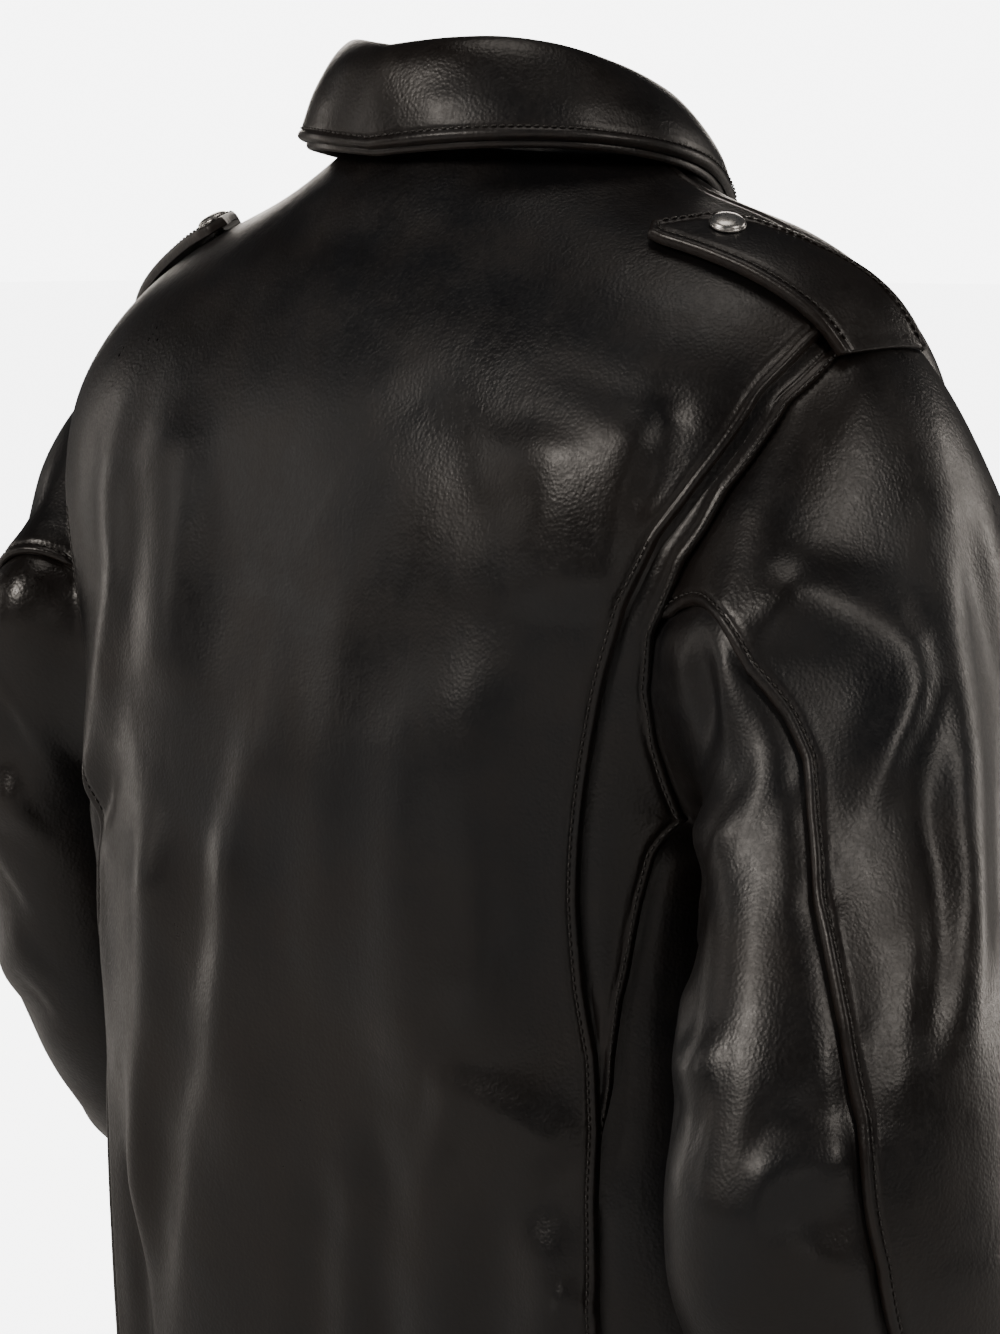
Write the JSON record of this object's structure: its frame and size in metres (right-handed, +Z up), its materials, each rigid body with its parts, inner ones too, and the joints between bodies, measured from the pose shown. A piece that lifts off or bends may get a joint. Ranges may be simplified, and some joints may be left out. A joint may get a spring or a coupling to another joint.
{
  "type": "leather riding jacket",
  "caption": "Black leather riding jacket with a turned-down collar, shoulder straps, bi-swing back, slanted front zip, zipped pockets and cuffs, and a buckled belt.",
  "frame": {"origin": "top of the hanger loop at the nape, on the centre line", "axes": "+Z up, the wearer faces -Y, the wearer's right side is -X"},
  "size_m": [0.677, 0.4544, 0.6953],
  "materials": {
    "leather": "semi-gloss",
    "leather_trim": "semi-gloss",
    "lining": "satin",
    "zip": "satin",
    "nickel": "polished"
  },
  "bodies": {
    "jacket_body": {"back_panel": "leather", "belt_left": "leather_trim", "belt_loop_left_1": "leather_trim", "belt_loop_left_2": "leather_trim", "belt_loop_right_1": "leather_trim", "belt_loop_right_2": "leather_trim", "belt_right": "leather_trim", "buckle_frame": "nickel", "chest_zip": "zip", "collar_fall": "leather_trim", "collar_stand": "leather_trim", "epaulette_stud_left": "nickel", "epaulette_stud_right": "nickel", "front_panel_left": "leather", "front_panel_right": "leather", "gusset_left": "leather", "gusset_right": "leather", "hanger_loop": "leather_trim", "lapel_left": "leather_trim", "lapel_right": "leather_trim", "lapel_snap_left": "nickel", "lapel_snap_right": "nickel", "lining_back": "lining", "lining_front_left": "lining", "lining_front_right": "lining", "main_zip_left": "zip", "main_zip_right": "zip", "pocket_bag_left": "lining", "pocket_bag_right": "lining", "pocket_zip_left": "zip", "pocket_zip_right": "zip"},
    "sleeve_left": {"upper_sleeve_left": "leather", "under_sleeve_left": "leather", "sleeve_lining_left": "lining", "cuff_zip_left": "zip"},
    "epaulette_strap_left": {"epaulette_left": "leather_trim", "epaulette_snap_left": "nickel"},
    "pocket_left_slider_body": {"pocket_left_slider": "nickel"},
    "pocket_left_pull_body": {"pocket_left_pull": "nickel"},
    "cuff_left_slider_body": {"cuff_left_slider": "nickel"},
    "cuff_left_pull_body": {"cuff_left_pull": "nickel"},
    "sleeve_right": {"upper_sleeve_right": "leather", "under_sleeve_right": "leather", "sleeve_lining_right": "lining", "cuff_zip_right": "zip"},
    "epaulette_strap_right": {"epaulette_right": "leather_trim", "epaulette_snap_right": "nickel"},
    "pocket_right_slider_body": {"pocket_right_slider": "nickel"},
    "pocket_right_pull_body": {"pocket_right_pull": "nickel"},
    "cuff_right_slider_body": {"cuff_right_slider": "nickel"},
    "cuff_right_pull_body": {"cuff_right_pull": "nickel"},
    "main_zip_slider_body": {"main_zip_slider": "nickel"},
    "main_zip_pull_body": {"main_zip_pull": "nickel"},
    "chest_slider_body": {"chest_slider": "nickel"},
    "chest_pull_body": {"chest_pull": "nickel"},
    "prong": {"buckle_prong": "nickel"}
  },
  "joints": [
    {"name": "sleeve_right_swing", "type": "hinge", "parent": "jacket_body", "child": "sleeve_right", "pos_m": [-0.225, -0.059, -0.16], "axis": [-1, 0, 0], "range_deg": [-20, 45]},
    {"name": "epaulette_right_lift", "type": "hinge", "parent": "jacket_body", "child": "epaulette_strap_right", "pos_m": [-0.2165, -0.04761, -0.08773], "axis": [0, -1, 0], "range_deg": [0, 85]},
    {"name": "sleeve_left_swing", "type": "hinge", "parent": "jacket_body", "child": "sleeve_left", "pos_m": [0.225, -0.059, -0.16], "axis": [-1, 0, 0], "range_deg": [-20, 45]},
    {"name": "epaulette_left_lift", "type": "hinge", "parent": "jacket_body", "child": "epaulette_strap_left", "pos_m": [0.2165, -0.04761, -0.08773], "axis": [0, 1, 0], "range_deg": [0, 85]},
    {"name": "main_zip_slide", "type": "slide", "parent": "jacket_body", "child": "main_zip_slider_body", "axis": [0.1922, -0.0459, -0.9803], "range_m": [0, 0.04]},
    {"name": "main_zip_pull_swing", "type": "hinge", "parent": "main_zip_slider_body", "child": "main_zip_pull_body", "pos_m": [-0.05156, -0.19535, -0.24942], "axis": [-0.9767, 0.0881, -0.1956], "range_deg": [0, 70]},
    {"name": "chest_slide", "type": "slide", "parent": "jacket_body", "child": "chest_slider_body", "axis": [-0.6123, -0.387, -0.6894], "range_m": [0, 0.05]},
    {"name": "chest_pull_swing", "type": "hinge", "parent": "chest_slider_body", "child": "chest_pull_body", "pos_m": [0.17914, -0.15204, -0.23706], "axis": [-0.4637, -0.5304, 0.7096], "range_deg": [0, 70]},
    {"name": "pocket_left_slide", "type": "slide", "parent": "jacket_body", "child": "pocket_left_slider_body", "axis": [-0.1468, -0.2005, -0.9686], "range_m": [0, 0.055]},
    {"name": "pocket_left_pull_swing", "type": "hinge", "parent": "pocket_left_slider_body", "child": "pocket_left_pull_body", "pos_m": [0.16275, -0.15444, -0.40041], "axis": [-0.7446, -0.6222, 0.2417], "range_deg": [0, 70]},
    {"name": "pocket_right_slide", "type": "slide", "parent": "jacket_body", "child": "pocket_right_slider_body", "axis": [0.1468, -0.2005, -0.9686], "range_m": [0, 0.055]},
    {"name": "pocket_right_pull_swing", "type": "hinge", "parent": "pocket_right_slider_body", "child": "pocket_right_pull_body", "pos_m": [-0.16275, -0.15444, -0.40041], "axis": [-0.7446, 0.6222, -0.2417], "range_deg": [0, 70]},
    {"name": "cuff_left_slide", "type": "slide", "parent": "sleeve_left", "child": "cuff_left_slider_body", "axis": [-0.0296, -0.6562, -0.754], "range_m": [-0.04, 0]},
    {"name": "cuff_left_pull_swing", "type": "hinge", "parent": "cuff_left_slider_body", "child": "cuff_left_pull_body", "pos_m": [0.32994, -0.21646, -0.61764], "axis": [0.4815, -0.6704, 0.5646], "range_deg": [0, 70]},
    {"name": "cuff_right_slide", "type": "slide", "parent": "sleeve_right", "child": "cuff_right_slider_body", "axis": [0.0903, -0.7627, -0.6404], "range_m": [-0.04, 0]},
    {"name": "cuff_right_pull_swing", "type": "hinge", "parent": "cuff_right_slider_body", "child": "cuff_right_pull_body", "pos_m": [-0.33361, -0.06896, -0.61955], "axis": [0.5671, 0.568, -0.5965], "range_deg": [0, 70]},
    {"name": "buckle_prong_swing", "type": "hinge", "parent": "jacket_body", "child": "prong", "pos_m": [0.022, -0.20867, -0.59475], "axis": [0, 0, 1], "range_deg": [0, 75]}
  ]
}
